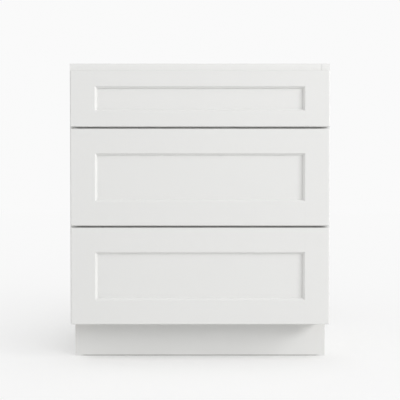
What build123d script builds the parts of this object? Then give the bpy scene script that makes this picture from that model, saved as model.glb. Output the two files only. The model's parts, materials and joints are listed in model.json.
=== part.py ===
"""Three-drawer kitchen base cabinet with a face frame and full-overlay five-piece drawer fronts.

+Z is up and the drawer fronts face -Y. The origin is on the floor, under the middle of the whole
cabinet, drawer fronts included. The drawers are modelled closed; each one pulls out along -Y on a
pair of telescopic ball runners. All sizes are in millimetres.
"""
from build123d import *
import os

# ------------------------------------------------------------------------------------------------
# Driving dimensions
# ------------------------------------------------------------------------------------------------
# Carcass
width = 762.0                   # over the side panels
height = 876.3                  # floor to the underside of a worktop
carcass_depth = 609.6           # face of the frame to the rear edge of the sides
side_thickness = 12.7
floor_thickness = 12.7
back_thickness = 9.5
back_inset = 6.4                # rear edge of the sides to the rear of the back panel
housing_depth = 4.8             # how far the floor and back are let into the sides
housing_gap = 0.4               # glue space at the bottom of a housing

# Toe kick
toe_kick_height = 114.3
toe_kick_recess = 76.2          # face of the frame to the face of the toe board
toe_board_thickness = 12.7
toe_board_fit = 0.5             # side clearance of the toe board's raised middle

# Face frame
frame_thickness = 19.05
frame_stile_width = 25.4
frame_rail_width = 38.1
frame_ease = 0.8                # small chamfer on the outer front corners
tenon_length = 9.5
tenon_thickness = 6.4
tenon_shoulder = 6.4            # height taken off each edge of a rail to make its tenon
mortise_gap = 0.5               # glue space at the end of a tenon

# Drawer fronts
front_thickness = 19.05
side_reveal = 4.8               # frame left showing beside the fronts
top_reveal = 23.2               # frame left showing above the top front
bottom_reveal = 0.3
front_spacing = 5.6             # between one front and the next
front_clearance = 1.6           # frame to the back of a closed front
top_front_height = 162.9
front_stile_width = 76.2
top_front_rail_width = 50.8
lower_front_rail_width = 76.2
sticking_width = 5.2            # bevel along the inner edges of stiles and rails
sticking_land = 3.2             # square step between the bevel and the panel
panel_recess = 9.5              # face of the frame to the face of the panel
panel_thickness = 6.4
panel_groove_depth = 9.5
panel_float = 0.8               # room for the panel at the bottom of its groove
front_ease = 2.0                # chamfer round the outside of a front

# Drawer boxes
box_thickness = 12.7
box_rise = 14.3                 # rail below to the bottom edge of the box
box_headroom = 14.3             # top edge of the box to the rail above
box_bottom_thickness = 6.4
box_bottom_rise = 12.7          # bottom edge of the box to the underside of its bottom
box_groove_depth = 6.4
box_top_ease = 1.6
tail_pitch = 50.0               # the nearest whole number of tails fills a corner
tail_share = 0.62               # widest part of a tail, as a share of its pitch
tail_slope = 1 / 6              # side-grain slope of a dovetail

# Runners
runner_thickness = 12.7         # side of the opening to the side of the box
runner_height = 45.7
runner_rise = 50.8              # bottom edge of the box to the middle of the runner
runner_setback = 3.2            # face of the frame to the front end of the runner
runner_rear_gap = 31.5          # rear end of the runner to the back panel
runner_sheet = 1.2
runner_bend = 1.6               # outside of a bend, which is drawn as one flat
runner_stop_allowance = 12.7    # length of runner that its stops keep engaged beyond half
runner_lip_gap = 0.6            # edge of a lip to the channel that it holds
middle_channel_offset = 2.0     # web of the cabinet channel to the web of the middle channel
outer_ball = 3.9
inner_ball = 3.2
race_clearance = 0.05           # each side of a ball
cage_sheet = 0.6
cage_offset = 0.7               # web of the cabinet channel to the web of the outer ball cage
cage_gap = 0.35                 # between a ball cage and the channels, elsewhere
cage_share = 0.45               # length of a ball cage, as a share of its runner
ball_count = 3                  # in each row of a cage
packer_height = 63.5

# Small parts
brace_leg = 76.0
brace_tip = 22.0
brace_depth = 20.0
brace_wall = 3.0
brace_drop = 1.0                # top of a brace below the top of the cabinet
brace_hole = 5.5                # takes the screw that holds the worktop down
brace_boss = 12.0
brace_boss_side_count = 8
brace_hole_offset = 26.0        # from each wall of the corner
bumper_diameter = 8.0
bumper_squeeze = 0.1            # gap left between a bumper and a closed front
bumper_inset = 20.0             # from the top or bottom edge of a front
bumper_side_count = 12
bumper_taper = 20               # degrees
screw_shank = 3.6
screw_head = 8.0
screw_head_height = 1.6
screw_head_taper = 30           # degrees
screw_length = 25.0             # through the box into the front
runner_screw_length = 11.0
front_screw_inset = 12.0        # from the inside face of the box side
front_screw_edge = 25.0         # from the top or bottom edge of the box
runner_screw_inset = 40.0       # from each end of a drawer channel
screw_clearance = 0.1
screw_side_count = 8

# ------------------------------------------------------------------------------------------------
# Places worked out from them
# ------------------------------------------------------------------------------------------------
half_width = width / 2
inside = half_width - side_thickness
opening = half_width - frame_stile_width

overall_depth = carcass_depth + front_clearance + front_thickness
y_face = -overall_depth / 2                         # face of the drawer fronts
y_frame = y_face + front_thickness + front_clearance
y_carcass = y_frame + frame_thickness               # front edge of the sides
y_rear = overall_depth / 2
y_back = y_rear - back_inset - back_thickness       # front of the back panel
y_toe = y_frame + toe_kick_recess
y_notch = y_toe + toe_board_thickness
y_box = y_frame - front_clearance                   # front of the drawer boxes

floor_top = toe_kick_height + frame_rail_width
floor_bottom = floor_top - floor_thickness

front_half_width = half_width - side_reveal
lower_front_height = (
    height - toe_kick_height - top_reveal - bottom_reveal - top_front_height - 2 * front_spacing
) / 2

box_half_width = opening - runner_thickness
box_inside = box_half_width - box_thickness
runner_front = y_frame + runner_setback
runner_length = y_back - runner_rear_gap - runner_front
box_length = runner_length
drawer_travel = runner_length - runner_stop_allowance

# Levels of the three fronts, counted from the floor up: bottom, middle, top
front_bottoms = [
    toe_kick_height + bottom_reveal,
    toe_kick_height + bottom_reveal + lower_front_height + front_spacing,
    toe_kick_height + bottom_reveal + 2 * (lower_front_height + front_spacing),
]
front_tops = [
    front_bottoms[0] + lower_front_height,
    front_bottoms[1] + lower_front_height,
    front_bottoms[2] + top_front_height,
]
drawer_names = ["bottom_drawer", "middle_drawer", "top_drawer"]
front_rail_widths = [lower_front_rail_width, lower_front_rail_width, top_front_rail_width]

# Bottom edges of the frame's rails, from the floor up. Each mid rail is centred behind a gap.
rail_bottoms = {
    "bottom_rail": toe_kick_height,
    "lower_mid_rail": front_tops[0] + (front_spacing - frame_rail_width) / 2,
    "upper_mid_rail": front_tops[1] + (front_spacing - frame_rail_width) / 2,
    "top_rail": height - frame_rail_width,
}
rail_levels = list(rail_bottoms.values())
box_bottoms = [level + frame_rail_width + box_rise for level in rail_levels[:3]]
box_tops = [level - box_headroom for level in rail_levels[1:]]
runner_levels = [level + runner_rise for level in box_bottoms]

# Section of a runner. Across it, distances run from the cabinet's side of it to the drawer's.
# Up and down it, they run both ways from its middle.
cabinet_flange = runner_height / 2
middle_flange = cabinet_flange - runner_sheet - outer_ball - 2 * race_clearance
drawer_flange = middle_flange - runner_sheet - inner_ball - 2 * race_clearance
outer_row = middle_flange + race_clearance + outer_ball / 2
inner_row = drawer_flange + race_clearance + inner_ball / 2
outer_cage_web = runner_sheet + cage_offset
middle_web = runner_sheet + middle_channel_offset
inner_cage_web = middle_web + runner_sheet + cage_gap
outer_ball_across = middle_web + runner_bend + cage_gap / 2
outer_cage_edge = outer_ball_across + outer_ball / 2 + 2 * cage_gap
cabinet_edge = outer_cage_edge + cage_gap + runner_sheet
drawer_edge = inner_cage_web + cage_sheet + cage_gap
inner_ball_across = drawer_edge + inner_ball / 2
inner_cage_edge = inner_ball_across + inner_ball / 2 + cage_gap
middle_edge = inner_cage_edge + cage_gap + runner_sheet


# ------------------------------------------------------------------------------------------------
# Shared forms
# ------------------------------------------------------------------------------------------------
def board(x0, x1, y0, y1, z0, z1):
    """A square-edged board between two opposite corners."""
    return Pos(x0, y0, z0) * Box(x1 - x0, y1 - y0, z1 - z0, align=(Align.MIN,) * 3)


def slab(outline, plane, thickness):
    """A board cut to an outline on a plane, and thickened along the plane's normal."""
    face = plane * make_face(Polyline(*outline, close=True))
    return extrude(face, amount=thickness, dir=plane.z_dir)


def handed(left_piece):
    """The same piece for the right-hand side."""
    return mirror(left_piece, about=Plane.YZ)


def pair(left_piece):
    return [left_piece, handed(left_piece)]


def pair_all(left_pieces):
    return left_pieces + [handed(piece) for piece in left_pieces]


def screw(length):
    """A pan-head screw along -Y, the underside of its head at the origin, with flat sides."""
    head_outline = Plane.XZ * RegularPolygon(screw_head / 2, screw_side_count)
    shank_outline = Plane.XZ * RegularPolygon(screw_shank / 2, screw_side_count)
    head = extrude(head_outline, amount=-screw_head_height, taper=screw_head_taper)
    return head + extrude(shank_outline, amount=length)


# ------------------------------------------------------------------------------------------------
# Carcass
# ------------------------------------------------------------------------------------------------
def floor_board(reach):
    return board(-reach, reach, y_carcass, y_back, floor_bottom, floor_top)


def back_board(reach):
    return board(-reach, reach, y_back, y_back + back_thickness, floor_bottom, height)


def left_side():
    """Side panel with the toe notch, housed on its inner face for the floor and the back."""
    outline = [
        (y_carcass, height), (y_rear, height), (y_rear, 0),
        (y_notch, 0), (y_notch, toe_kick_height), (y_carcass, toe_kick_height),
    ]
    blank = slab(outline, Plane.YZ.offset(-half_width), side_thickness)
    reach = inside + housing_depth + housing_gap
    return blank - floor_board(reach) - back_board(reach)


def toe_board():
    """Covers the notched ends of the sides, and stands up between them to carry the floor."""
    shoulder = inside - toe_board_fit
    outline = [
        (-half_width, 0), (half_width, 0), (half_width, toe_kick_height),
        (shoulder, toe_kick_height), (shoulder, floor_bottom),
        (-shoulder, floor_bottom), (-shoulder, toe_kick_height), (-half_width, toe_kick_height),
    ]
    return slab(outline, Plane.XZ.offset(-y_notch), toe_board_thickness)


def corner_brace():
    """Moulded brace, open below, for a corner whose walls run along +X and +Y."""
    outline = make_face(Polyline(
        (0, 0), (brace_leg, 0), (brace_leg, brace_tip), (brace_tip, brace_leg), (0, brace_leg),
        close=True,
    ))
    inner = offset(outline, amount=-brace_wall, kind=Kind.INTERSECTION)
    shell = extrude(outline, amount=-brace_depth)
    shell -= Pos(0, 0, -brace_wall) * extrude(inner, amount=brace_wall - brace_depth)
    at_hole = Pos(brace_hole_offset, brace_hole_offset)
    boss_outline = RegularPolygon(brace_boss / 2, brace_boss_side_count)
    shell += extrude(at_hole * boss_outline, amount=-brace_depth)
    return shell - extrude(at_hole * Circle(brace_hole / 2), amount=-brace_depth)


def corner_braces():
    """One brace in each top corner, against the frame in front and the back panel behind."""
    brace = Pos(-inside, y_carcass, height - brace_drop) * corner_brace()
    middle = Plane.XZ.offset(-(y_carcass + y_back) / 2)
    return pair(brace) + pair(mirror(brace, about=middle))


# ------------------------------------------------------------------------------------------------
# Face frame
# ------------------------------------------------------------------------------------------------
def rail_tenons(level, reach):
    """The tenons at both ends of a rail, as one tongue that runs right through it."""
    y_tongue = y_frame + (frame_thickness - tenon_thickness) / 2
    return board(
        -reach, reach, y_tongue, y_tongue + tenon_thickness,
        level + tenon_shoulder, level + frame_rail_width - tenon_shoulder,
    )


def frame_rail(level):
    rail = board(-opening, opening, y_frame, y_carcass, level, level + frame_rail_width)
    return rail + rail_tenons(level, opening + tenon_length)


def left_frame_stile():
    stile = board(-half_width, -opening, y_frame, y_carcass, toe_kick_height, height)
    outer_edge = stile.edges().filter_by(Axis.Z).group_by(Axis.Y)[0].sort_by(Axis.X)[0]
    stile = chamfer(outer_edge, frame_ease)
    for level in rail_levels:
        stile -= rail_tenons(level, opening + tenon_length + mortise_gap)
    return stile


# ------------------------------------------------------------------------------------------------
# Drawer fronts: cope-and-stick frames round a flat floating panel
# ------------------------------------------------------------------------------------------------
def stick_section(member_width):
    """Section of a stile or rail: eased outer corner, bevelled inner edge, groove for the panel.

    The first coordinate runs from the outer edge to the inner one, the second from the face back.
    """
    groove_bottom = member_width - panel_groove_depth
    return [
        (0, front_ease), (front_ease, 0), (member_width - sticking_width, 0),
        (member_width, panel_recess - sticking_land), (member_width, panel_recess),
        (groove_bottom, panel_recess), (groove_bottom, panel_recess + panel_thickness),
        (member_width, panel_recess + panel_thickness), (member_width, front_thickness),
        (0, front_thickness),
    ]


def left_front_stile(bottom, top):
    """Full-height stile, with its two ends eased across the face."""
    outline = [
        (-front_half_width + across, y_face + back)
        for across, back in stick_section(front_stile_width)
    ]
    stile = slab(outline, Plane.XY.offset(bottom), top - bottom)
    end_edges = stile.edges().filter_by(Axis.X).group_by(Axis.Y)[0]
    return chamfer(end_edges, front_ease)


def front_rail(outer_level, direction, member_width, stiles):
    """Rail coped over both stiles. It grows up or down from its outer edge, as direction says."""
    reach = front_half_width - front_stile_width + sticking_width
    outline = [
        (y_face + back, outer_level + direction * across)
        for across, back in stick_section(member_width)
    ]
    rail = slab(outline, Plane.YZ.offset(-reach), 2 * reach)
    for stile in stiles:
        rail -= stile
    return rail


def front_panel(bottom, top, rail_width):
    """Flat panel, held in the grooves with a little room to move."""
    reach = front_half_width - front_stile_width + panel_groove_depth - panel_float
    margin = rail_width - panel_groove_depth + panel_float
    y_panel = y_face + panel_recess
    return board(
        -reach, reach, y_panel, y_panel + panel_thickness, bottom + margin, top - margin)


# ------------------------------------------------------------------------------------------------
# Drawer boxes: dovetailed at the corners, with the bottom held in grooves
# ------------------------------------------------------------------------------------------------
def tail_points(bottom, top, y_shoulder, y_end):
    """Corner points of the dovetails on one end of a side, from the bottom up."""
    count = max(1, round((top - bottom) / tail_pitch))
    pitch = (top - bottom) / count
    tip = pitch * tail_share / 2
    root = tip - abs(y_end - y_shoulder) * tail_slope
    points = []
    for index in range(count):
        middle = bottom + (index + 0.5) * pitch
        points += [
            (y_shoulder, middle - root), (y_end, middle - tip),
            (y_end, middle + tip), (y_shoulder, middle + root),
        ]
    return points


def box_bottom(bottom, fit):
    """Bottom panel, reaching into the grooves to within fit of their full depth."""
    reach = box_groove_depth - fit
    level = bottom + box_bottom_rise
    return board(
        -box_inside - reach, box_inside + reach,
        y_box + box_thickness - reach, y_box + box_length - box_thickness + reach,
        level, level + box_bottom_thickness,
    )


def left_box_side(bottom, top):
    """Tail board: dovetails at both ends, as long as the box."""
    y_front_shoulder = y_box + box_thickness
    y_rear_shoulder = y_box + box_length - box_thickness
    rear = tail_points(bottom, top, y_rear_shoulder, y_box + box_length)
    front = tail_points(bottom, top, y_front_shoulder, y_box)
    outline = [(y_front_shoulder, bottom), (y_rear_shoulder, bottom)] + rear
    outline += [(y_rear_shoulder, top), (y_front_shoulder, top)] + front[::-1]
    side = slab(outline, Plane.YZ.offset(-box_half_width), box_thickness)
    top_edges = side.edges().filter_by(Axis.Y).group_by(Axis.Z)[-1]
    return chamfer(top_edges, box_top_ease) - box_bottom(bottom, 0)


def box_end(bottom, top, y_outer, sides):
    """Pin board across the front or back: what the tails of both sides leave of a plain board."""
    end = board(-box_half_width, box_half_width, y_outer, y_outer + box_thickness, bottom, top)
    for side in sides:
        end -= side
    return end - box_bottom(bottom, 0)


# ------------------------------------------------------------------------------------------------
# Runners: three rolled channels, one inside the next, with a cage of balls between each two
# ------------------------------------------------------------------------------------------------
def rolled(section, length, front):
    """Strip bent to a section of (across, up) points, running back from its front end."""
    corners = Polyline(*section).vertices()[1:-1]
    bent = chamfer(corners, runner_bend * (2 - 2 ** 0.5))
    outline = offset(bent, amount=runner_sheet, side=Side.LEFT, kind=Kind.INTERSECTION)
    strip = extrude(make_face(outline), amount=length)
    return Pos(-opening, front + length, 0) * Rot(X=90) * strip


def lipped_section(web, edge, flange, lip):
    """Channel open towards the drawer, with both lips turned in to hold the balls."""
    return [(edge, lip), (edge, flange), (web, flange), (web, -flange), (edge, -flange), (edge, -lip)]


def cabinet_channel():
    lip = middle_flange + runner_lip_gap
    section = lipped_section(0, cabinet_edge, cabinet_flange, lip)
    return rolled(section, runner_length, runner_front)


def middle_channel():
    lip = drawer_flange + runner_lip_gap
    section = lipped_section(middle_web, middle_edge, middle_flange, lip)
    return rolled(section, runner_length - runner_stop_allowance, runner_front)


def runner_screw_places():
    return [runner_front + runner_screw_inset, runner_front + runner_length - runner_screw_inset]


def drawer_channel():
    """Plain channel open towards the cabinet, with a hole for each screw into the box."""
    section = [
        (drawer_edge, -drawer_flange), (runner_thickness, -drawer_flange),
        (runner_thickness, drawer_flange), (drawer_edge, drawer_flange),
    ]
    channel = rolled(section, runner_length, runner_front)
    for y_screw in runner_screw_places():
        hole = Plane.YZ * RegularPolygon(screw_shank / 2 + screw_clearance, screw_side_count)
        place = Pos(-box_half_width, y_screw, 0)
        channel -= extrude(place * hole, amount=2 * runner_sheet, both=True)
    return channel


def ball(diameter):
    """Ball with flats, to keep it light: 26 faces, and its true size over the raceways."""
    cube = Box(diameter, diameter, diameter)
    return chamfer(cube.edges(), diameter * (1 - 0.5 ** 0.5))


def ball_cage(web, edge, row, across, diameter):
    """Sheet strip between two channels, with a window for each ball of its two rows."""
    length = runner_length * cage_share
    front = runner_front + drawer_travel / 4
    flange = row + cage_sheet / 2
    outline = [
        (edge, flange), (web, flange), (web, -flange), (edge, -flange),
        (edge, cage_sheet - flange), (web + cage_sheet, cage_sheet - flange),
        (web + cage_sheet, flange - cage_sheet), (edge, flange - cage_sheet),
    ]
    strip = Pos(-opening, front, 0) * slab(outline, Plane.XZ.offset(-length), length)
    balls = []
    window = Box(diameter + 2 * race_clearance, diameter + 2 * race_clearance, 3 * cage_sheet)
    for index in range(ball_count):
        y_ball = front + (index + 0.5) * length / ball_count
        for level in (-row, row):
            place = Pos(-opening + across, y_ball, level)
            strip -= place * window
            balls.append(place * ball(diameter))
    return [strip] + balls


def outer_cage():
    return ball_cage(outer_cage_web, outer_cage_edge, outer_row, outer_ball_across, outer_ball)


def inner_cage():
    return ball_cage(inner_cage_web, inner_cage_edge, inner_row, inner_ball_across, inner_ball)


def runner_packer(level):
    """Fills the step between the side panel and the edge of the frame's stile."""
    lower = level - packer_height / 2
    return board(-inside, -opening, y_carcass, y_back, lower, lower + packer_height)


# ------------------------------------------------------------------------------------------------
# Fastenings and buffers
# ------------------------------------------------------------------------------------------------
def front_screws(bottom, top):
    """Screws from inside the box into the stiles of the front."""
    head_seat = y_box + box_thickness
    across = box_inside - front_screw_inset
    levels = (bottom + front_screw_edge, top - front_screw_edge)
    return [Pos(side * across, head_seat, level) * screw(screw_length)
            for side in (-1, 1) for level in levels]


def runner_screws(level):
    """Screws through the drawer channels into the sides of the box, seen from the left."""
    head_seat = -box_half_width - runner_sheet
    screws = []
    for y_screw in runner_screw_places():
        screws += pair(Pos(head_seat, y_screw, level) * Rot(Z=90) * screw(runner_screw_length))
    return screws


def screw_holes(pieces, screws):
    """The same pieces, bored for the shanks of screws."""
    bored = []
    for piece in pieces:
        for each in screws:
            piece -= each
        bored.append(piece)
    return bored


def bumpers():
    """Clear domes on the frame, one behind each corner of each front."""
    thickness = front_clearance - bumper_squeeze
    outline = RegularPolygon(bumper_diameter / 2, bumper_side_count)
    dome = extrude(Plane.XZ * outline, amount=thickness, taper=bumper_taper)
    across = (half_width + opening) / 2
    levels = []
    for bottom, top in zip(front_bottoms, front_tops):
        levels += [bottom + bumper_inset, top - bumper_inset]
    return [Pos(side * across, y_frame, level) * dome for level in levels for side in (-1, 1)]


# ------------------------------------------------------------------------------------------------
# The cabinet
# ------------------------------------------------------------------------------------------------
def cabinet():
    """Every fixed piece, by name."""
    pieces = {
        "left_side_panel": left_side(),
        "right_side_panel": handed(left_side()),
        "floor_panel": floor_board(inside + housing_depth),
        "back_panel": back_board(inside + housing_depth),
        "toe_kick_board": toe_board(),
        "left_stile": left_frame_stile(),
        "right_stile": handed(left_frame_stile()),
        "corner_braces": corner_braces(),
        "front_bumpers": bumpers(),
    }
    for name, level in rail_bottoms.items():
        pieces[name] = frame_rail(level)
    pieces["runner_packers"] = []
    pieces["cabinet_channels"] = []
    for level in runner_levels:
        pieces["runner_packers"] += pair(runner_packer(level))
        pieces["cabinet_channels"] += pair(Pos(0, 0, level) * cabinet_channel())
    return pieces


def drawer(index):
    """Every piece of one drawer and of its runners, by name without the drawer's own."""
    front_bottom, front_top = front_bottoms[index], front_tops[index]
    rail_width = front_rail_widths[index]
    left_stile = left_front_stile(front_bottom, front_top)
    stiles = pair(left_stile)

    bottom, top = box_bottoms[index], box_tops[index]
    level = Pos(0, 0, runner_levels[index])
    sides = pair(left_box_side(bottom, top))
    front_end = box_end(bottom, top, y_box, sides)
    back_end = box_end(bottom, top, y_box + box_length - box_thickness, sides)
    into_front = front_screws(bottom, top)
    into_sides = runner_screws(runner_levels[index])

    bored_stiles = screw_holes(stiles, into_front)
    bored_sides = screw_holes(sides, into_sides)
    return {
        "front_left_stile": bored_stiles[0],
        "front_right_stile": bored_stiles[1],
        "front_top_rail": front_rail(front_top, -1, rail_width, stiles),
        "front_bottom_rail": front_rail(front_bottom, 1, rail_width, stiles),
        "front_panel": front_panel(front_bottom, front_top, rail_width),
        "box_left_side": bored_sides[0],
        "box_right_side": bored_sides[1],
        "box_front": screw_holes([front_end], into_front)[0],
        "box_back": back_end,
        "box_bottom": box_bottom(bottom, panel_float),
        "drawer_channels": pair(level * drawer_channel()),
        "middle_channels": pair(level * middle_channel()),
        "outer_ball_cages": pair_all([level * piece for piece in outer_cage()]),
        "inner_ball_cages": pair_all([level * piece for piece in inner_cage()]),
        "screws": into_front + into_sides,
    }


def write(name, piece):
    """Write one named piece, or a group of like pieces, to its own file."""
    shape = Compound(children=[each for each in piece]) if isinstance(piece, list) else piece
    export_step(shape, f"parts/{name}.step")


def main():
    os.makedirs("parts", exist_ok=True)
    for name, piece in cabinet().items():
        write(name, piece)
    for index, drawer_name in enumerate(drawer_names):
        for name, piece in drawer(index).items():
            write(f"{drawer_name}_{name}", piece)


main()
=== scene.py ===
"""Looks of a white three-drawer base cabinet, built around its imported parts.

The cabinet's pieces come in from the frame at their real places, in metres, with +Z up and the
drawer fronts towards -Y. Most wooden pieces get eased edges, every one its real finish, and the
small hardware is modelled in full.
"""
import json
from collections import namedtuple
from math import pi, radians

import bmesh
import bpy
from mathutils import Matrix, Vector

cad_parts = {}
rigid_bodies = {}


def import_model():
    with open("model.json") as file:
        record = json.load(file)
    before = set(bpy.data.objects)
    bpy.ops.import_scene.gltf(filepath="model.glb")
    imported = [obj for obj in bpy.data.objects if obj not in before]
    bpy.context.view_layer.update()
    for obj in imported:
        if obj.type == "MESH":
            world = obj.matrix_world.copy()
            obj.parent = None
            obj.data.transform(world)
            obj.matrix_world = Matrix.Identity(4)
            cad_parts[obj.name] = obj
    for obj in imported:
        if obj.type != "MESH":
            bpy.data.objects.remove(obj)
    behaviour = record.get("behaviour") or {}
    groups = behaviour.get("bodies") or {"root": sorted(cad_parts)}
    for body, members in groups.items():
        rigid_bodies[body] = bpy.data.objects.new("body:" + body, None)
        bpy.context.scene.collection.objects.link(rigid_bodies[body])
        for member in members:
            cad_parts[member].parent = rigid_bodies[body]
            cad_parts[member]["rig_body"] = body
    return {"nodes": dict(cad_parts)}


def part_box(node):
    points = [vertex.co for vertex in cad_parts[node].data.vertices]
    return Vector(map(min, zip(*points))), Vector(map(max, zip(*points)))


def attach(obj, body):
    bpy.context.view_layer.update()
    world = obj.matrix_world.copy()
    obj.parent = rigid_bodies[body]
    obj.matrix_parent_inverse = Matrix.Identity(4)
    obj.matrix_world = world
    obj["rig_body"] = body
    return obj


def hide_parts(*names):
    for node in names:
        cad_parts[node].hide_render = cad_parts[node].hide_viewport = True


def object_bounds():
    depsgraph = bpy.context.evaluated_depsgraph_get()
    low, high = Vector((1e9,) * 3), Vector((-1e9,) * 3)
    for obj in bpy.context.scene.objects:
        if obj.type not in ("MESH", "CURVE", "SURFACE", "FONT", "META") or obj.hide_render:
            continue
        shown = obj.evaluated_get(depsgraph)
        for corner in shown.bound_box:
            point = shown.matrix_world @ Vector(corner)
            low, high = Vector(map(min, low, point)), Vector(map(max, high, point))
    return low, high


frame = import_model()
cad_low, cad_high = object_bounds()
bpy.ops.object.select_all(action="DESELECT")

MM = 0.001
X, Y, Z = range(3)
DRAWERS = ("bottom_drawer", "middle_drawer", "top_drawer")
FACE = cad_low.y                # of the drawer fronts
HALF_WIDTH = cad_high.x
TOUCH = 0.1 * MM                # less than this apart is the same place


# ------------------------------------------------------------------------------------------------
# Shader maths
# ------------------------------------------------------------------------------------------------
class Wire:
    """An output of a shader node. Arithmetic on it adds Math nodes."""

    def __init__(self, shading, output):
        self.shading = shading
        self.output = output

    def maths(self, operation, *values):
        """A Math node on these values, which may be numbers or wires."""
        return self.shading.node(
            "ShaderNodeMath", {"operation": operation}, dict(enumerate(values)))

    def at_least(self, least):
        return self.maths("MAXIMUM", self, least)

    def at_most(self, most):
        return self.maths("MINIMUM", self, most)

    def root(self):
        return self.maths("SQRT", self)

    def __add__(self, other):
        return self.maths("ADD", self, other)

    def __sub__(self, other):
        return self.maths("SUBTRACT", self, other)

    def __rsub__(self, other):
        return self.maths("SUBTRACT", other, self)

    def __mul__(self, other):
        return self.maths("MULTIPLY", self, other)

    def __truediv__(self, other):
        return self.maths("DIVIDE", self, other)

    def __mod__(self, other):
        return self.maths("FLOORED_MODULO", self, other)

    def __gt__(self, other):
        return self.maths("GREATER_THAN", self, other)

    def __lt__(self, other):
        return self.maths("LESS_THAN", self, other)

    def __abs__(self):
        return self.maths("ABSOLUTE", self)

    __radd__ = __add__
    __rmul__ = __mul__


class Shading:
    """The nodes of one material or of the world."""

    def __init__(self, owner):
        owner.use_nodes = True
        self.tree = owner.node_tree
        self.owner = owner

    def put(self, socket, value):
        """Link a wire to a socket, or set the socket to a plain value."""
        if isinstance(value, Wire):
            self.tree.links.new(value.output, socket)
        else:
            socket.default_value = value

    def node(self, kind, settings=None, inputs=None, output=0):
        """Add a node, set it up, then feed its inputs. A ramp takes its stops as a setting."""
        made = self.tree.nodes.new(kind)
        for name, value in (settings or {}).items():
            if name == "stops":
                while len(made.color_ramp.elements) < len(value):
                    made.color_ramp.elements.new(0.5)
                for element, (place, colour) in zip(made.color_ramp.elements, value):
                    element.position = place
                    element.color = colour
            else:
                setattr(made, name, value)
        for name, value in (inputs or {}).items():
            self.put(made.inputs[name], value)
        return Wire(self, made.outputs[output])

    def place(self, scale=(1, 1, 1)):
        """Where a point is on the object, in metres, stretched by a scale."""
        point = self.node("ShaderNodeTexCoord", output="Object")
        return self.node("ShaderNodeMapping", None, {"Vector": point, "Scale": scale})

    def grain(self, along, share):
        """A place drawn in along one axis, so that patterns on it are long that way."""
        return self.place([share if axis == along else 1 for axis in range(3)])

    def axes(self, vector):
        """A vector's X, Y and Z, each on its own."""
        split = self.node("ShaderNodeSeparateXYZ", None, {0: vector})
        return [Wire(self, output) for output in split.output.node.outputs]

    def facing(self):
        """How far a surface faces along X, Y and Z."""
        return self.axes(self.node("ShaderNodeTexCoord", output="Normal"))

    def noise(self, vector, size, detail=2, distortion=0):
        """Soft noise from 0 to 1, with patches of about that size."""
        return self.node("ShaderNodeTexNoise", None, {
            "Vector": vector, "Scale": 1 / size, "Detail": detail, "Distortion": distortion})

    def between(self, share, first, second):
        """The first colour, or the second where share is 1."""
        return self.node(
            "ShaderNodeMix", {"data_type": "RGBA"}, {0: share, 6: first, 7: second}, output=2)

    def bump(self, height, depth):
        """A surface that rises by depth where height goes from 0 to 1."""
        return self.node("ShaderNodeBump", None, {"Height": height, "Distance": depth})


def finish(name, **values):
    """A new material, with the values that are the same all over it."""
    shading = Shading(bpy.data.materials.new(name))
    shading.shader = shading.tree.nodes["Principled BSDF"]
    surface(shading, **values)
    return shading


def surface(shading, **values):
    """Set the shader's sockets, named in words joined by underscores."""
    for name, value in values.items():
        socket = name.replace("_", " ").title().replace("Ior", "IOR")
        shading.put(shading.shader.inputs[socket], value)


# ------------------------------------------------------------------------------------------------
# Finishes
# ------------------------------------------------------------------------------------------------
PAINT = (0.83, 0.83, 0.818)
# The fronts' white made lighter over the whole frame: a painted highlight for its brighter top
# rail.
FRAME_PAINT_WITH_HIGHLIGHT = (0.865, 0.865, 0.853)
THIN_PAINT = 0.96               # how light paint is where it lies thin, as a share of its colour
PAINT_DEPTH = 0.6 * MM          # how far paint reaches over the edges of a plywood board
RELIEF = 0.03 * MM              # of paint, veneer and moulded plastic
# Colour of the painted shade laid in patchy lines behind the gaps and along the toe board's foot
PAINTED_SHADE_COLOUR = (0.30, 0.29, 0.275, 1)
PAINTED_SHADE_MARGIN = 15 * MM           # from the cabinet's sides to the ends of a line of painted shade
PAINTED_SHADE_FADE = 14 * MM             # over which a line grows to its full strength
PLY_EDGE_LIGHT = (0.70, 0.56, 0.38, 1)
PLY_EDGE_DARK = (0.48, 0.34, 0.20, 1)
CARCASS_SHEET = 1.41 * MM       # one sheet of the plywood in a board
BACK_SHEET = 1.36 * MM
BOTTOM_SHEET = 1.28 * MM
BIRCH = ((0.78, 0.66, 0.48, 1), (0.68, 0.54, 0.36, 1))
MAPLE_VENEER = ((0.79, 0.67, 0.49, 1), (0.72, 0.58, 0.40, 1))
MAPLE = ((0.78, 0.64, 0.45, 1), (0.56, 0.40, 0.235, 1))
MAPLE_HEART = (190 * MM, 70 * MM)    # how far the heart of the log lies outside the boxes
LOG_SLANT = 0.05
RING_WIDTH = 4.2 * MM
RING_WAVE = 50 * MM


def paint_film(shading, paint=PAINT):
    """Sprayed satin paint: colour, roughness and height of its faint orange peel."""
    thin = [THIN_PAINT * level for level in paint]
    point = shading.place()
    cloud = shading.noise(point, 350 * MM)
    peel = shading.noise(point, 2.4 * MM)
    grit = shading.noise(point, 0.5 * MM)
    colour = shading.between(cloud * 0.35 + grit * 0.1, (*paint, 1), (*thin, 1))
    roughness = 0.34 + cloud * 0.08 + peel * 0.06
    return colour, roughness, peel + grit * 0.3


def add_painted_shade(shading, colour, roughness, levels, reach, strength):
    """Painted shade in patchy lines across what faces the front, each so far above and below its
    level.
    """
    across, _, level = shading.axes(shading.place())
    ends = ((HALF_WIDTH - PAINTED_SHADE_MARGIN - abs(across)) / PAINTED_SHADE_FADE).at_least(0).at_most(1)
    in_front = (shading.facing()[Y] < -0.5) * ends
    near = in_front * sum((1 - abs(level - line) / reach).at_least(0) for line in levels)
    patches = shading.noise(shading.grain(X, 0.3), 12 * MM)
    cover = near * (patches * 0.3 + strength)
    return shading.between(cover, colour, PAINTED_SHADE_COLOUR), roughness + near * 0.2


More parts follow.
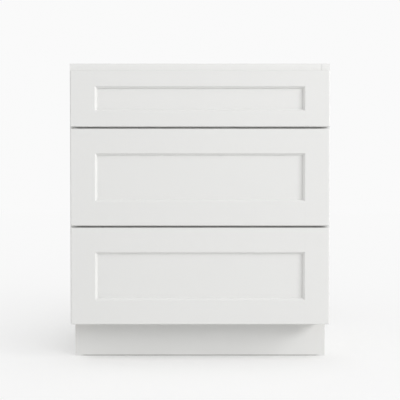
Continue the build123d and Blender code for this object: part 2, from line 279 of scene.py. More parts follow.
def painted(name, paint=PAINT, **shade_lines):
    """Painted wood. Lines of painted shade lie on it where their levels, reach and strength are
    given.
    """
    shading = finish(name)
    colour, roughness, height = paint_film(shading, paint)
    if shade_lines:
        colour, roughness = add_painted_shade(shading, colour, roughness, **shade_lines)
    surface(shading, base_color=colour, roughness=roughness,
            normal=shading.bump(height, RELIEF))
    return shading.owner


def veneer(shading, along, light, dark):
    """Rotary-cut birch: long wavy flames, with short dark pores along the grain."""
    flames = shading.noise(shading.grain(along, 0.16), 50 * MM, detail=3, distortion=1.1)
    fibres = shading.noise(shading.grain(along, 0.04), 1.2 * MM, detail=3)
    bands = shading.node("ShaderNodeValToRGB", {"stops": [
        (0.30, light), (0.46, dark), (0.50, light), (0.62, dark), (0.68, light)]}, {0: flames})
    return shading.between(fibres * 0.5, bands, dark), fibres


def ply_layers(shading, depth, sheet):
    """The cut edge of plywood: plies of one thickness, turned end on by turns."""
    turn = (depth / (2 * sheet)) % 1
    cells = shading.noise(shading.place(), 0.6 * MM)
    layer = (turn > 0.5) * 0.75 + cells * 0.3
    return shading.between(layer, PLY_EDGE_LIGHT, PLY_EDGE_DARK)


def plywood(name, across, along, sheet, light, dark, is_painted=None):
    """Lacquered plywood boards, all with the same axis across them and the same face grain.

    Where is_painted is given, it says at which depths across the boards they are painted.
    """
    shading = finish(name)
    facing = abs(shading.facing()[across])
    depth = shading.axes(shading.place())[across]
    colour, height = veneer(shading, along, light, dark)
    is_edge = facing < 0.7
    roughness = 0.38 + height * 0.12 + is_edge * 0.2
    colour = shading.between(is_edge, colour, ply_layers(shading, abs(depth), sheet))
    if is_painted:
        paint, paint_roughness, peel = paint_film(shading)
        outside = is_painted(depth)
        colour = shading.between(outside, colour, paint)
        roughness = roughness + (paint_roughness - roughness) * outside
        height = height + (peel - height) * outside
    surface(shading, base_color=colour, roughness=roughness,
            normal=shading.bump(height, RELIEF))
    return shading.owner


def maple(name, along):
    """Solid maple sawn from logs that lie along one axis, with end grain across it."""
    shading = finish(name)
    bend = shading.noise(shading.grain(along, 0.12), 90 * MM)
    point = shading.axes(shading.place())
    slant = point[along] * LOG_SLANT
    across = [axis for axis in (X, Y, Z) if axis != along]
    legs = [point[axis] + heart + slant for axis, heart in zip(across, MAPLE_HEART)]
    radius = (legs[0] * legs[0] + legs[1] * legs[1]).root()
    ring = ((radius + bend * RING_WAVE) / RING_WIDTH) % 1
    latewood = ring * ring * ring
    fibres = shading.noise(shading.grain(along, 0.03), 0.9 * MM, detail=3)
    cloud = shading.noise(shading.grain(along, 0.2), 120 * MM)
    end_grain = abs(shading.facing()[along]) > 0.7
    shade = latewood * 0.22 + fibres * 0.3 + cloud * 0.4 + end_grain * 0.35
    surface(shading, base_color=shading.between(shade, *MAPLE),
            roughness=0.34 + fibres * 0.14 + end_grain * 0.15,
            normal=shading.bump(fibres + end_grain * 0.2, 0.025 * MM))
    return shading.owner


def plated(name, light, dark, roughness):
    """Rolled steel with a plated skin: fine lines from the rollers, and a faint bloom."""
    shading = finish(name, metallic=1.0)
    bloom = shading.noise(shading.place(), 12 * MM, detail=3)
    lines = shading.noise(shading.grain(Y, 0.01), 0.4 * MM)
    surface(shading, base_color=shading.between(bloom * 0.6 + lines * 0.3, light, dark),
            roughness=roughness + bloom * 0.14 + lines * 0.08,
            normal=shading.bump(lines, 0.006 * MM))
    return shading.owner


def moulded(name, colour, dark):
    """Moulded plastic with a fine matte grain from its tool."""
    shading = finish(name)
    grain = shading.noise(shading.place(), 0.7 * MM)
    flow = shading.noise(shading.place(), 30 * MM)
    surface(shading, base_color=shading.between(flow * 0.5 + grain * 0.2, colour, dark),
            roughness=0.5 + grain * 0.12, normal=shading.bump(grain, RELIEF))
    return shading.owner


def clear_rubber(name, light, dark):
    """Cast soft plastic, clear enough to take up the white of the paint behind it."""
    shading = finish(name, transmission_weight=0.15, ior=1.49)
    haze = shading.noise(shading.place(), 2 * MM)
    surface(shading, base_color=shading.between(haze, light, dark), roughness=0.1 + haze * 0.12)
    return shading.owner


# Heights of the gaps between the fronts, where lines of painted shade darken the frame behind them.
FRONT_GAPS = [
    (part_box(f"{lower}_front_left_stile")[1].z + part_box(f"{upper}_front_left_stile")[0].z) / 2
    for lower, upper in zip(DRAWERS, DRAWERS[1:])]
FINISHES = {
    "painted_front": painted("painted_front"),
    # The frame gets lines of painted shade behind the gaps between the fronts.
    "painted_frame": painted("painted_frame", FRAME_PAINT_WITH_HIGHLIGHT,
                             levels=FRONT_GAPS, reach=7 * MM, strength=0.36),
    # Painted shade along the foot of the toe board, where it meets the floor.
    "painted_toe_board": painted("painted_toe_board",
                                 levels=[0], reach=4.5 * MM, strength=0.85),
    "side_plywood": plywood("side_plywood", X, Z, CARCASS_SHEET, *BIRCH,
                            lambda depth: abs(depth) > HALF_WIDTH - PAINT_DEPTH),
    "zinc_steel": plated("zinc_steel", (0.68, 0.69, 0.71, 1), (0.56, 0.57, 0.60, 1), 0.26),
    "cage_steel": plated("cage_steel", (0.58, 0.58, 0.57, 1), (0.47, 0.47, 0.46, 1), 0.3),
    "screw_steel": plated("screw_steel", (0.72, 0.70, 0.63, 1), (0.60, 0.57, 0.48, 1), 0.24),
    "brace_plastic": moulded("brace_plastic", (0.80, 0.78, 0.72, 1), (0.74, 0.72, 0.65, 1)),
    "clear_bumper": clear_rubber("clear_bumper", (0.84, 0.84, 0.82, 1), (0.77, 0.77, 0.74, 1)),
}
FLOOR_PLY = plywood("birch_floor", Z, X, CARCASS_SHEET, *BIRCH,
                    lambda depth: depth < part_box("floor_panel")[0].z + PAINT_DEPTH)
BACK_PLY = plywood("birch_back", Y, Z, BACK_SHEET, *BIRCH)
PACKER_PLY = plywood("birch_packer", X, Y, CARCASS_SHEET, *BIRCH)
BOTTOM_PLY = plywood("maple_bottom", Z, X, BOTTOM_SHEET, *MAPLE_VENEER)
MAPLE_BACKWARDS = maple("maple_box_side", Y)
MAPLE_SIDEWAYS = maple("maple_box_end", X)
BALL_STEEL = plated("ball_steel", (0.74, 0.74, 0.74, 1), (0.64, 0.64, 0.64, 1), 0.12)


# ------------------------------------------------------------------------------------------------
# Shaping and fitting
# ------------------------------------------------------------------------------------------------
MERGED = 0.01 * MM              # corners of a part that are less than this apart become one
TINY = 0.002 * MM               # edges shorter than this are taken out of a finished piece
FLAT_ANGLE = radians(1)         # faces of a part that turn less than this become one
SHARP_ANGLE = radians(20)       # edges that turn more than this are rounded
SMOOTH_ANGLE = radians(40)      # edges that turn less than this are shaded smooth
STRAIGHT = 0.99                 # a direction with more than this along an axis runs along it


def take(piece, *others):
    """Make these pieces the only ones that the next tools work on, the first one above all."""
    bpy.ops.object.select_all(action="DESELECT")
    for each in (piece, *others):
        each.select_set(True)
    bpy.context.view_layer.objects.active = piece


def edit(piece, kind="VERT"):
    """Go into edit mode with everything on the piece selected."""
    take(piece)
    bpy.ops.object.mode_set(mode="EDIT")
    bpy.ops.mesh.select_mode(type=kind)
    bpy.ops.mesh.select_all(action="SELECT")


def done():
    """Leave edit mode."""
    bpy.ops.object.mode_set(mode="OBJECT")


def pick_edges(piece, wanted):
    """In edit mode, select the edges whose middle and direction are wanted."""
    bpy.ops.mesh.select_all(action="DESELECT")
    mesh = bmesh.from_edit_mesh(piece.data)
    for edge in mesh.edges:
        start, end = (vertex.co for vertex in edge.verts)
        edge.select_set(wanted((start + end) / 2, (end - start).normalized()))
    mesh.select_flush_mode()
    bmesh.update_edit_mesh(piece.data)


def pick_faces(piece, wanted):
    """In edit mode, select the faces whose middle and normal are wanted."""
    bpy.ops.mesh.select_all(action="DESELECT")
    mesh = bmesh.from_edit_mesh(piece.data)
    for face in mesh.faces:
        face.select_set(wanted(face.calc_center_median(), face.normal))
    mesh.select_flush_mode()
    bmesh.update_edit_mesh(piece.data)


def copy_part(node, name):
    """A merged copy of a part, with its flat faces whole, ready to shape."""
    piece = bpy.data.objects.new(name, frame["nodes"][node].data.copy())
    bpy.context.scene.collection.objects.link(piece)
    piece.data.materials.clear()
    edit(piece)
    bpy.ops.mesh.customdata_custom_splitnormals_clear()
    bpy.ops.mesh.remove_doubles(threshold=MERGED)
    bpy.ops.mesh.dissolve_limited(angle_limit=FLAT_ANGLE)
    done()
    return piece


def round_edges(piece, width, wanted=None, segments=2):
    """Round the wanted edges, or every sharp one, by that width."""
    edit(piece, "EDGE")
    if wanted:
        pick_edges(piece, wanted)
    else:
        bpy.ops.mesh.select_all(action="DESELECT")
        bpy.ops.mesh.edges_select_sharp(sharpness=SHARP_ANGLE)
    bpy.ops.mesh.bevel(offset=width, segments=segments, affect="EDGES", clamp_overlap=True)
    done()


def apply(piece, kind, **settings):
    """Add a modifier and apply it."""
    take(piece)
    modifier = piece.modifiers.new(kind.title(), kind)
    for name, value in settings.items():
        setattr(modifier, name, value)
    bpy.ops.object.modifier_apply(modifier=modifier.name)


def primitive(kind, name, place=(0, 0, 0), turn=(0, 0, 0), scale=(1, 1, 1), **settings):
    """Add a basic shape, with its place in its mesh and its object at the origin."""
    bpy.ops.object.select_all(action="DESELECT")
    getattr(bpy.ops.mesh, f"primitive_{kind}_add")(location=place, rotation=turn, **settings)
    piece = bpy.context.object
    piece.name = name
    bpy.ops.object.transform_apply(location=False)
    piece.scale = scale
    bpy.ops.object.transform_apply()
    return piece


def block(name, low, high):
    """Add a box between two opposite corners."""
    low, high = Vector(low), Vector(high)
    return primitive("cube", name, place=(low + high) / 2, scale=high - low, size=1)


def join(pieces, name):
    """Make one piece of several, under a new name."""
    take(*pieces)
    bpy.ops.object.join()
    pieces[0].name = name
    return pieces[0]


def cut(piece, tool):
    """Cut a piece with a tool, and throw the tool away."""
    apply(piece, "BOOLEAN", operation="DIFFERENCE", solver="EXACT", object=tool)
    bpy.data.objects.remove(tool)


def repeat(pattern, name, places):
    """Copies of a pattern, each with its own mesh, put in their places and joined."""
    copies = []
    for place in places:
        mesh = pattern.data.copy()
        mesh.transform(place)
        if place.is_negative:
            mesh.flip_normals()
        copies.append(bpy.data.objects.new(name, mesh))
        bpy.context.scene.collection.objects.link(copies[-1])
    return join(copies, name)


def fit(piece, slot, node, material=None, replace=True):
    """Smooth a shaped piece, and give it its finish and its place among the moving parts.

    The finish is the one that is named after the slot, unless a material is given.
    """
    piece.data.materials.clear()
    piece.data.materials.append(material or FINISHES[slot])
    edit(piece)
    bpy.ops.mesh.dissolve_degenerate(threshold=TINY)
    done()
    bpy.ops.object.shade_smooth_by_angle(angle=SMOOTH_ANGLE)
    apply(piece, "WEIGHTED_NORMAL", keep_sharp=True, weight=100)
    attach(piece, frame["nodes"][node]["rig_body"])
    if replace:
        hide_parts(node)


def dress(node, material):
    """Give a part that keeps its own shape its finish."""
    part = frame["nodes"][node]
    for place in part.material_slots:
        place.material = material


# ------------------------------------------------------------------------------------------------
# Wooden pieces
# ------------------------------------------------------------------------------------------------
FRONT_EASE = 0.5 * MM
FRONT_EASE_REACH = 7 * MM       # from the face of a front to behind its bevels
STUB_GAP = 4.25 * MM            # left between a rail's stub tenon and the bottom of its groove
BOX_EASE = 0.2 * MM
SIDE_EASE = 0.4 * MM
FRAME_EASE = 0.3 * MM
TOE_EASE = 0.5 * MM
TOE_FOOT_EASE = 1 * MM
HAIRLINE_WIDTH = 0.7 * MM
HAIRLINE_DEPTH = 3 * MM
FRAME_MEMBERS = ("left_stile", "right_stile", "top_rail", "upper_mid_rail", "lower_mid_rail",
                 "bottom_rail")


def along_x(direction):
    return abs(direction.x) > STRAIGHT


def along_y(direction):
    return abs(direction.y) > STRAIGHT


def along_z(direction):
    return abs(direction.z) > STRAIGHT


def fill_grooves(rail, node):
    """Lengthen a rail's stub tenons to the bottom of the grooves in the stiles."""
    edit(rail, "FACE")
    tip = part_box(node)[1].x
    for side in (-1, 1):
        pick_faces(rail, lambda at, out: side * out.x > STRAIGHT and side * at.x > tip - TOUCH)
        bpy.ops.transform.translate(value=(side * STUB_GAP, 0, 0))
    done()


def finish_front(drawer):
    """Five-piece front: soft corners outside and along the bevels, tight joints between pieces."""
    reach = FACE + FRONT_EASE_REACH
    for member in ("front_left_stile", "front_right_stile"):
        node = f"{drawer}_{member}"
        piece = copy_part(node, f"{node}_eased")
        round_edges(piece, FRONT_EASE,
                    lambda at, run: at.y < reach and (along_z(run) or along_x(run)))
        fit(piece, "painted_front", node)
    for member in ("front_top_rail", "front_bottom_rail"):
        node = f"{drawer}_{member}"
        piece = copy_part(node, f"{node}_eased")
        round_edges(piece, FRONT_EASE, lambda at, run: at.y < reach and along_x(run))
        fill_grooves(piece, node)
        fit(piece, "painted_front", node)
    dress(f"{drawer}_front_panel", FINISHES["painted_front"])


def finish_box(drawer):
    """Dovetailed box: edges just broken, so that each joint shows as a fine line."""
    for member in ("box_left_side", "box_right_side", "box_front", "box_back"):
        node = f"{drawer}_{member}"
        piece = copy_part(node, f"{node}_sanded")
        round_edges(piece, BOX_EASE, segments=1)
        grain = MAPLE_BACKWARDS if "side" in member else MAPLE_SIDEWAYS
        fit(piece, "box_maple", node, grain)
    dress(f"{drawer}_box_bottom", BOTTOM_PLY)


def open_hairline(stile):
    """Let the right stile's joint with the top rail show as a fine line."""
    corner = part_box("right_stile")[0]
    low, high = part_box("top_rail")
    cut(stile, block("hairline", (corner.x - MM, corner.y - MM, low.z), (
        corner.x + HAIRLINE_WIDTH, corner.y + HAIRLINE_DEPTH, high.z + MM)))


def finish_carcass():
    """Plywood sides, floor and back, the face frame and the toe board."""
    for node in ("left_side_panel", "right_side_panel"):
        piece = copy_part(node, f"{node}_eased")
        round_edges(piece, SIDE_EASE)
        fit(piece, "side_plywood", node)
    for node in FRAME_MEMBERS:
        piece = copy_part(node, f"{node}_eased")
        round_edges(piece, FRAME_EASE)
        if node == "right_stile":
            open_hairline(piece)
        fit(piece, "painted_frame", node)
    piece = copy_part("toe_kick_board", "toe_kick_board_eased")
    round_edges(piece, TOE_FOOT_EASE, lambda at, run: at.z < TOUCH and along_x(run))
    round_edges(piece, TOE_EASE, lambda at, run: at.z > 3 * TOE_FOOT_EASE)
    fit(piece, "painted_toe_board", "toe_kick_board")
    dress("floor_panel", FLOOR_PLY)
    dress("back_panel", BACK_PLY)
    dress("runner_packers", PACKER_PLY)


# ------------------------------------------------------------------------------------------------
# Runners, screws, braces and bumpers
# ------------------------------------------------------------------------------------------------
OPENING = -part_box("left_stile")[1].x                # half the width of the frame's opening
RUNNER_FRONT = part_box("cabinet_channels")[0].y
RUNNER_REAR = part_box("cabinet_channels")[1].y
RUNNER_SHEET = 1.2 * MM
BEND_RADIUS = 0.35 * MM
CAGE_SHEET = 0.6 * MM
CAGE_BEND_RADIUS = 0.5 * MM
BALL_SPACING = 7 * MM
BALL_ROOM = 0.05 * MM           # round a ball in its window

# The slots through the webs of the channels: how far the webs are from the cabinet's middle, the
# places of the slots along the runner, their length and their width.
Slots = namedtuple("Slots", "across places length width")
SLOTS = {
    "cabinet": Slots(
        OPENING - RUNNER_SHEET / 2,
        (RUNNER_FRONT + 25 * MM, RUNNER_FRONT + 140 * MM, 100 * MM, RUNNER_REAR - 25 * MM),
        11 * MM, 4.4 * MM),
    "middle": Slots(
        OPENING - 3.8 * MM,
        (RUNNER_FRONT + 70 * MM, -60 * MM, 120 * MM),
        30 * MM, 8 * MM),
    "drawer": Slots(
        OPENING - 12.1 * MM,
        (RUNNER_FRONT + 90 * MM, -50 * MM, 70 * MM, RUNNER_REAR - 90 * MM),
        12 * MM, 4.4 * MM),
}
SLOT_REACH = 3 * MM             # of a slot's cutter, to each side of the web
SLOT_ROUND = 0.49               # radius of a slot's ends, as a share of its width

# The ball cages: how far their web, open edge and balls are from the frame's opening, how far each
# row of balls is above or below the runner's middle, and the diameter of a ball.
Cage = namedtuple("Cage", "web edge across row ball")
CAGES = {
    "outer": Cage(1.9 * MM, 7.625 * MM, 4.975 * MM, 19.65 * MM, 3.9 * MM),
    "inner": Cage(4.75 * MM, 9.25 * MM, 7.3 * MM, 14.8 * MM, 3.2 * MM),
}
CAGE_SLOTS = (0.25, 0.42, 0.58, 0.75)               # as shares of a cage's length
CAGE_SLOT = (18 * MM, 10 * MM)                      # length and width

FRONT_SCREW_LENGTH = 25 * MM                        # into the drawer front
FRONT_SCREW_INSET = 24.7 * MM                       # from the outside of the box
FRONT_SCREW_EDGE = 25 * MM                          # from the top or bottom edge of the box
DRAWER_SCREW_LENGTH = 11 * MM                       # through a drawer channel into the box
DRAWER_SCREW_INSET = 40 * MM                        # from an end of the runner
CABINET_SCREW_LENGTH = 14 * MM                      # through a cabinet channel into the packer
CABINET_SCREWS = (RUNNER_FRONT + 60 * MM, 0, RUNNER_REAR - 60 * MM)
WOOD_HEAD = (4 * MM, 1.6 * MM)                      # radius and height of a screw's head
FLAT_HEAD = (4.5 * MM, 0.6 * MM)
HEAD_ROUND = 0.7                                    # radius of its edge, to its height
SHANK_RADIUS = 1.65 * MM
SHANK_POINT = 1.5 * MM
RECESS_ARM = 0.42 * MM                              # half the width of a recess's arms
RECESS_REACH = 0.55                                 # length of an arm, to the head's radius
RECESS_DEPTH = 0.75                                 # to the head's height
RECESS_RISE = 0.2 * MM                              # of the recess's cutter over the head
RECESS_TAPER = 0.6                                  # width of its bottom, to that of its mouth
ROUND_SIDES = 24                                    # of a screw's head and a bumper
SHANK_SIDES = 12

# From a cabinet corner along each wall: the middle of the screw boss, then where its ribs run.
BRACE_BOSS = 26 * MM
BRACE_RIBS = [(2 * MM, 21 * MM), (31 * MM, 68 * MM)]
BRACE_RIB_TOP = 2 * MM          # below the top of the brace
BRACE_RIB_DEPTH = 14 * MM
BRACE_RIB_EASE = 0.3 * MM
BRACE_EASE = 0.6 * MM
BUMPER_RADIUS = 4 * MM
BUMPER_ROUND = 0.8              # radius of its edge, to its height
BUMPER_INSET = 20 * MM          # from the top or bottom edge of a drawer front


def level_of(drawer):
    """Height of the middle of a drawer's runners."""
    low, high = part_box(f"{drawer}_drawer_channels")
    return (low.z + high.z) / 2


def both_sides(level):
    """Where a left-hand pattern of the runners goes at this height, left and right."""
    return [Matrix.Translation((0, 0, level)) @ Matrix.Diagonal((side, 1, 1, 1))
            for side in (1, -1)]


def ball_places(drawer, kind):
    """Three balls together, three times along each row."""
    low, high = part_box(f"{drawer}_{kind}_ball_cages")
    cage = CAGES[kind]
    for group in range(3):
        middle = low.y + (group + 0.5) * (high.y - low.y) / 3
        for index in (-1, 0, 1):
            for side in (-1, 1):
                yield Vector((
                    cage.across - OPENING, middle + index * BALL_SPACING, side * cage.row))


def cage_strip(kind):
    """Thin channel of the left runner, with a window for each ball and slots along its web."""
    low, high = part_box(f"bottom_drawer_{kind}_ball_cages")
    cage = CAGES[kind]
    web = cage.web - OPENING
    reach = cage.row + CAGE_SHEET / 2
    strip = block(f"{kind}_cage", (web, low.y, -reach), (cage.edge - OPENING, high.y, reach))
    edit(strip, "FACE")
    pick_faces(strip, lambda at, out: out.x > STRAIGHT or along_y(out))
    bpy.ops.mesh.delete(type="FACE")
    done()
    round_edges(strip, CAGE_BEND_RADIUS, lambda at, run: along_y(run) and at.x < web + TOUCH)
    apply(strip, "SOLIDIFY", thickness=CAGE_SHEET, offset=-1)
    half = Vector((1, 1, 1)) * (cage.ball / 2 + BALL_ROOM)
    windows = [block("window", at - half, at + half)
               for at in ball_places("bottom_drawer", kind)]
    length, width = CAGE_SLOT
    for share in CAGE_SLOTS:
        middle = low.y + share * (high.y - low.y)
        windows.append(block("slot", (web - MM, middle - length / 2, -width / 2),
                             (web + 2 * MM, middle + length / 2, width / 2)))
    cut(strip, join(windows, "windows"))
    return strip


def cut_slots(piece, slots, levels):
    """Cut round-ended slots through the webs of channels."""
    half = Vector((SLOT_REACH, slots.length / 2, slots.width / 2))
    tools = []
    for level in levels:
        for middle in slots.places:
            for side in (-1, 1):
                at = Vector((side * slots.across, middle, level))
                tool = block("slot", at - half, at + half)
                round_edges(tool, slots.width * SLOT_ROUND, lambda at, run: along_x(run),
                            segments=4)
                tools.append(tool)
    cut(piece, join(tools, "slots"))


def finish_channel(node, slots, levels):
    """Rolled channel: round bends, and slots along its web."""
    piece = copy_part(node, f"{node}_rolled")
    round_edges(piece, BEND_RADIUS, lambda at, run: along_y(run))
    cut_slots(piece, slots, levels)
    fit(piece, "zinc_steel", node)


def cross_recess(face, reach, depth):
    """Cutter for the recess in a screw's head, sunk along -Y from its face."""
    arm = RECESS_ARM
    tool = block("cross", (-arm, face - depth, -arm), (arm, face + RECESS_RISE, arm))
    edit(tool, "FACE")
    pick_faces(tool, lambda at, out: abs(out.y) < 0.5)
    bpy.ops.mesh.extrude_faces_move(TRANSFORM_OT_shrink_fatten={"value": reach - arm})
    pick_faces(tool, lambda at, out: out.y < -0.5)
    bpy.ops.transform.resize(value=(RECESS_TAPER, 1, RECESS_TAPER))
    done()
    return tool


def screw(length, head_radius, head_height):
    """Cross-recessed screw along -Y, the underside of its head at the origin."""
    turn = (pi / 2, 0, 0)
    head = primitive("cylinder", "head", (0, head_height / 2, 0), turn,
                     vertices=ROUND_SIDES, radius=head_radius, depth=head_height)
    round_edges(head, HEAD_ROUND * head_height, lambda at, run: at.y > head_height - TOUCH,
                segments=3)
    cut(head, cross_recess(head_height, RECESS_REACH * head_radius, RECESS_DEPTH * head_height))
    shank = primitive("cylinder", "shank", (0, -length / 2, 0), turn,
                      vertices=SHANK_SIDES, radius=SHANK_RADIUS, depth=length)
    round_edges(shank, SHANK_POINT, lambda at, run: at.y < TOUCH - length, segments=1)
    return join([head, shank], "screw")


def head_towards(side, across, depth, level):
    """The place of a screw whose head looks across the cabinet, to that side."""
    return (Matrix.Translation((across, depth, level))
            @ Matrix.Rotation(-side * pi / 2, 4, "Z"))


def screws_of(drawer, into_front, into_side):
    """The four screws into the front and the four that hold the drawer channels."""
    low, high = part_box(f"{drawer}_box_front")
    across = high.x - FRONT_SCREW_INSET
    front = repeat(into_front, "front_screws", [
        Matrix.Translation((side * across, high.y, level))
        for side in (-1, 1) for level in (low.z + FRONT_SCREW_EDGE, high.z - FRONT_SCREW_EDGE)])
    seat = high.x + RUNNER_SHEET
    sides = repeat(into_side, "side_screws", [
        head_towards(side, side * seat, at, level_of(drawer))
        for side in (1, -1)
        for at in (RUNNER_FRONT + DRAWER_SCREW_INSET, RUNNER_REAR - DRAWER_SCREW_INSET)])
    return join([front, sides], f"{drawer}_cross_screws")


def finish_cages(drawer, strips, balls):
    """The ball cages of a drawer's runners, each with its balls."""
    places = both_sides(level_of(drawer))
    for kind, strip in strips.items():
        node = f"{drawer}_{kind}_ball_cages"
        pair = repeat(strip, f"{drawer}_{kind}_cage_strips", places)
        fit(pair, "cage_steel", node)
        row = repeat(balls[kind], "balls", [
            Matrix.Translation(at) for at in ball_places(drawer, kind)])
        rows = repeat(row, f"{drawer}_{kind}_balls", places)
        fit(rows, "cage_steel", node, BALL_STEEL, replace=False)
        bpy.data.objects.remove(row)


def finish_runners():
    """Slotted channels, the screws that hold them, and the cages with their balls."""
    levels = [level_of(drawer) for drawer in DRAWERS]
    into_front = screw(FRONT_SCREW_LENGTH, *WOOD_HEAD)
    into_side = screw(DRAWER_SCREW_LENGTH, *WOOD_HEAD)
    into_packer = screw(CABINET_SCREW_LENGTH, *FLAT_HEAD)
    finish_channel("cabinet_channels", SLOTS["cabinet"], levels)
    held = repeat(into_packer, "cabinet_channel_screws", [
        head_towards(side, -side * (OPENING - RUNNER_SHEET), at, level)
        for level in levels for side in (-1, 1) for at in CABINET_SCREWS])
    fit(held, "screw_steel", "cabinet_channels", replace=False)

    strips = {kind: cage_strip(kind) for kind in CAGES}
    balls = {kind: primitive("uv_sphere", "ball", segments=10, ring_count=6, radius=cage.ball / 2)
             for kind, cage in CAGES.items()}
    for drawer, level in zip(DRAWERS, levels):
        finish_channel(f"{drawer}_middle_channels", SLOTS["middle"], [level])
        finish_channel(f"{drawer}_drawer_channels", SLOTS["drawer"], [level])
        fit(screws_of(drawer, into_front, into_side), "screw_steel", f"{drawer}_screws")
        finish_cages(drawer, strips, balls)
    for pattern in (into_front, into_side, into_packer, *strips.values(), *balls.values()):
        bpy.data.objects.remove(pattern)


def finish_braces():
    """Moulded braces: softened all round, with ribs below from the screw boss to the walls."""
    piece = copy_part("corner_braces", "corner_braces_moulded")
    round_edges(piece, BRACE_EASE)
    low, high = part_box("corner_braces")
    bottom, top = -BRACE_RIB_DEPTH, -BRACE_RIB_TOP
    near, far = BRACE_BOSS - MM, BRACE_BOSS + MM
    ribs = []
    for start, end in BRACE_RIBS:
        ribs.append(block("rib", (start, near, bottom), (end, far, top)))
        ribs.append(block("rib", (near, start, bottom), (far, end, top)))
    pattern = join(ribs, "ribs")
    ribs = repeat(pattern, "corner_brace_ribs", [
        Matrix.Translation((-x * high.x, low.y if y > 0 else high.y, high.z))
        @ Matrix.Diagonal((x, y, 1, 1)) for x in (1, -1) for y in (1, -1)])
    bpy.data.objects.remove(pattern)
    foot = high.z - BRACE_RIB_DEPTH + TOUCH
    round_edges(ribs, BRACE_RIB_EASE, lambda at, run: at.z < foot)
    fit(join([piece, ribs], piece.name), "brace_plastic", "corner_braces")


def finish_bumpers():
    """Clear stick-on domes."""
    low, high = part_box("front_bumpers")
    height = high.y - low.y
    dome = primitive("cylinder", "dome", (0, -height / 2, 0), (pi / 2, 0, 0),
                     vertices=ROUND_SIDES, radius=BUMPER_RADIUS, depth=height)
    round_edges(dome, BUMPER_ROUND * height, lambda at, run: at.y < TOUCH - height, segments=4)
    levels = []
    for drawer in DRAWERS:
        front_low, front_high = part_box(f"{drawer}_front_left_stile")
        levels += [front_low.z + BUMPER_INSET, front_high.z - BUMPER_INSET]
    domes = repeat(dome, "front_bumper_domes", [
        Matrix.Translation((side * (high.x - BUMPER_RADIUS), high.y, level))
        for side in (-1, 1) for level in levels])
    fit(domes, "clear_bumper", "front_bumpers")
    bpy.data.objects.remove(dome)


# ------------------------------------------------------------------------------------------------
# Camera, lamps and stage
# ------------------------------------------------------------------------------------------------
CAMERA_DISTANCE = 1.977         # in front of the drawer fronts
CAMERA_HEIGHT = 0.512
CAMERA_DIP = radians(1.0)
CAMERA_LENS = 61.26
CAMERA_REACH = 60
BACKGROUND = 0.955
ROOM_LIGHT = 0.48
LAMP_DISTANCE = 8
LAMP_AIM = 0.45                 # height on the fronts that the lamps point at
# Each lamp's azimuth and elevation in degrees, its size and its level, as add_softbox takes them.
LAMPS = [(45, 18, 2.2, 0.222), (62, 25, 2.2, 0.327), (-70, 12, 5.0, 0.113), (-60, 45, 5.0, 0.057)]
FLOOR_SIZE = 24
FLOOR_COLOUR = (0.93, 0.93, 0.925, 1)               # for the light that it throws back
FLOOR_SEEN = (0.792, 0.792, 0.787, 1)               # for the camera
FLOOR_GLOW = (0.255, 0.255, 0.255, 1)               # added to that, which softens the shadow
FLOOR_CLEAR = 0.415             # from the cabinet's middle to where the floor starts to fade
FLOOR_FADE = 0.16               # and from there to where it is half faded
FOOT_REACH = 62 * MM            # of the shade on the floor before the toe board
FOOT_SHADE = 0.588              # share of the glow that it takes away
BLACK = (0, 0, 0, 1)


def add_camera():
    """Straight on, from a little over half the cabinet's height."""
    bpy.ops.object.camera_add(
        location=(0, FACE - CAMERA_DISTANCE, CAMERA_HEIGHT),
        rotation=(pi / 2 - CAMERA_DIP, 0, 0))
    camera = bpy.context.object
    camera.data.lens = CAMERA_LENS
    camera.data.clip_end = CAMERA_REACH
    bpy.context.scene.camera = camera


def add_softbox(azimuth, elevation, size, level):
    """A square lamp that lights a surface facing it, at the fronts, to that level.

    Azimuth 0 is straight before the fronts and 90 to their right, in degrees.
    """
    turn = Matrix.Rotation(radians(azimuth), 3, "Z") @ Matrix.Rotation(radians(-elevation), 3, "X")
    to_lamp = turn @ Vector((0, -LAMP_DISTANCE, 0))
    bpy.ops.object.light_add(
        type="AREA", location=Vector((0, FACE, LAMP_AIM)) + to_lamp,
        rotation=(-to_lamp).to_track_quat("-Z", "Y").to_euler())
    bpy.context.object.visible_camera = False
    lamp = bpy.context.object.data
    lamp.shape = "SQUARE"
    lamp.size = size
    lamp.energy = level * pi ** 2 * LAMP_DISTANCE ** 2


def seen_rays(shading):
    """1 for what the camera sees, straight or in metal and glass."""
    path = shading.node("ShaderNodeLightPath", output="Is Camera Ray")
    rays = path.output.node.outputs
    seen = path + Wire(shading, rays["Is Glossy Ray"]) + Wire(shading, rays["Is Transmission Ray"])
    return seen.at_most(1)


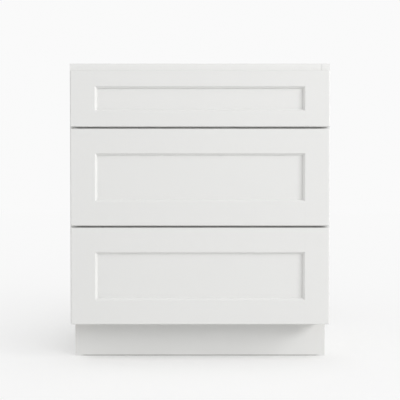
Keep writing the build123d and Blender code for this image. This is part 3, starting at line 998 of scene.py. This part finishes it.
def light_world():
    """An even room, seen as a white background."""
    shading = Shading(bpy.data.worlds.new("studio"))
    bpy.context.scene.world = shading.owner
    room, white = ((level, level, level, 1) for level in (ROOM_LIGHT, BACKGROUND))
    colour = shading.between(seen_rays(shading), room, white)
    shading.put(shading.tree.nodes["Background"].inputs["Color"], colour)


def foot_shade(shading):
    """Shade on the floor, from 1 at the foot of the toe board to 0 before it and past its ends."""
    across, depth, _ = shading.axes(shading.place())
    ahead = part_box("toe_kick_board")[0].y - depth
    near = (1 - ahead / FOOT_REACH).at_least(0) * (ahead > 0)
    return near * ((HALF_WIDTH - abs(across)) / FOOT_REACH).at_least(0).at_most(1)


def floor_finish():
    """Pale, with the cabinet's shadow on it, and fading into the background for the camera."""
    shading = Shading(bpy.data.materials.new("studio_floor"))
    distance = shading.node(
        "ShaderNodeVectorMath", {"operation": "LENGTH"}, {0: shading.place()}, output="Value")
    beyond = (distance - FLOOR_CLEAR).at_least(0)
    fade = beyond / (beyond + FLOOR_FADE)
    seen = seen_rays(shading)
    colour = shading.between(seen, FLOOR_COLOUR, FLOOR_SEEN)
    glow = shading.between(seen * (1 - foot_shade(shading) * FOOT_SHADE), BLACK, FLOOR_GLOW)
    lit = shading.node("ShaderNodeBsdfDiffuse", None, {"Color": colour})
    lift = shading.node("ShaderNodeEmission", None, {"Color": glow})
    near = shading.node("ShaderNodeAddShader", None, {0: lit, 1: lift})
    far = shading.node("ShaderNodeEmission", None, {"Strength": BACKGROUND})
    mixed = shading.node("ShaderNodeMixShader", None, {0: fade * seen, 1: near, 2: far})
    shading.put(shading.tree.nodes["Material Output"].inputs["Surface"], mixed)
    return shading.owner


def lay_floor():
    """A wide floor under the cabinet."""
    bpy.ops.mesh.primitive_plane_add(size=FLOOR_SIZE)
    floor = bpy.context.object
    floor.name = "studio_floor"
    edit(floor)
    bpy.ops.mesh.subdivide(number_cuts=3)
    done()
    floor.data.materials.append(floor_finish())


bpy.context.scene.view_settings.view_transform = "Standard"
add_camera()
for lamp in LAMPS:
    add_softbox(*lamp)
light_world()
lay_floor()

finish_carcass()
for drawer in DRAWERS:
    finish_front(drawer)
    finish_box(drawer)
finish_runners()
finish_braces()
finish_bumpers()
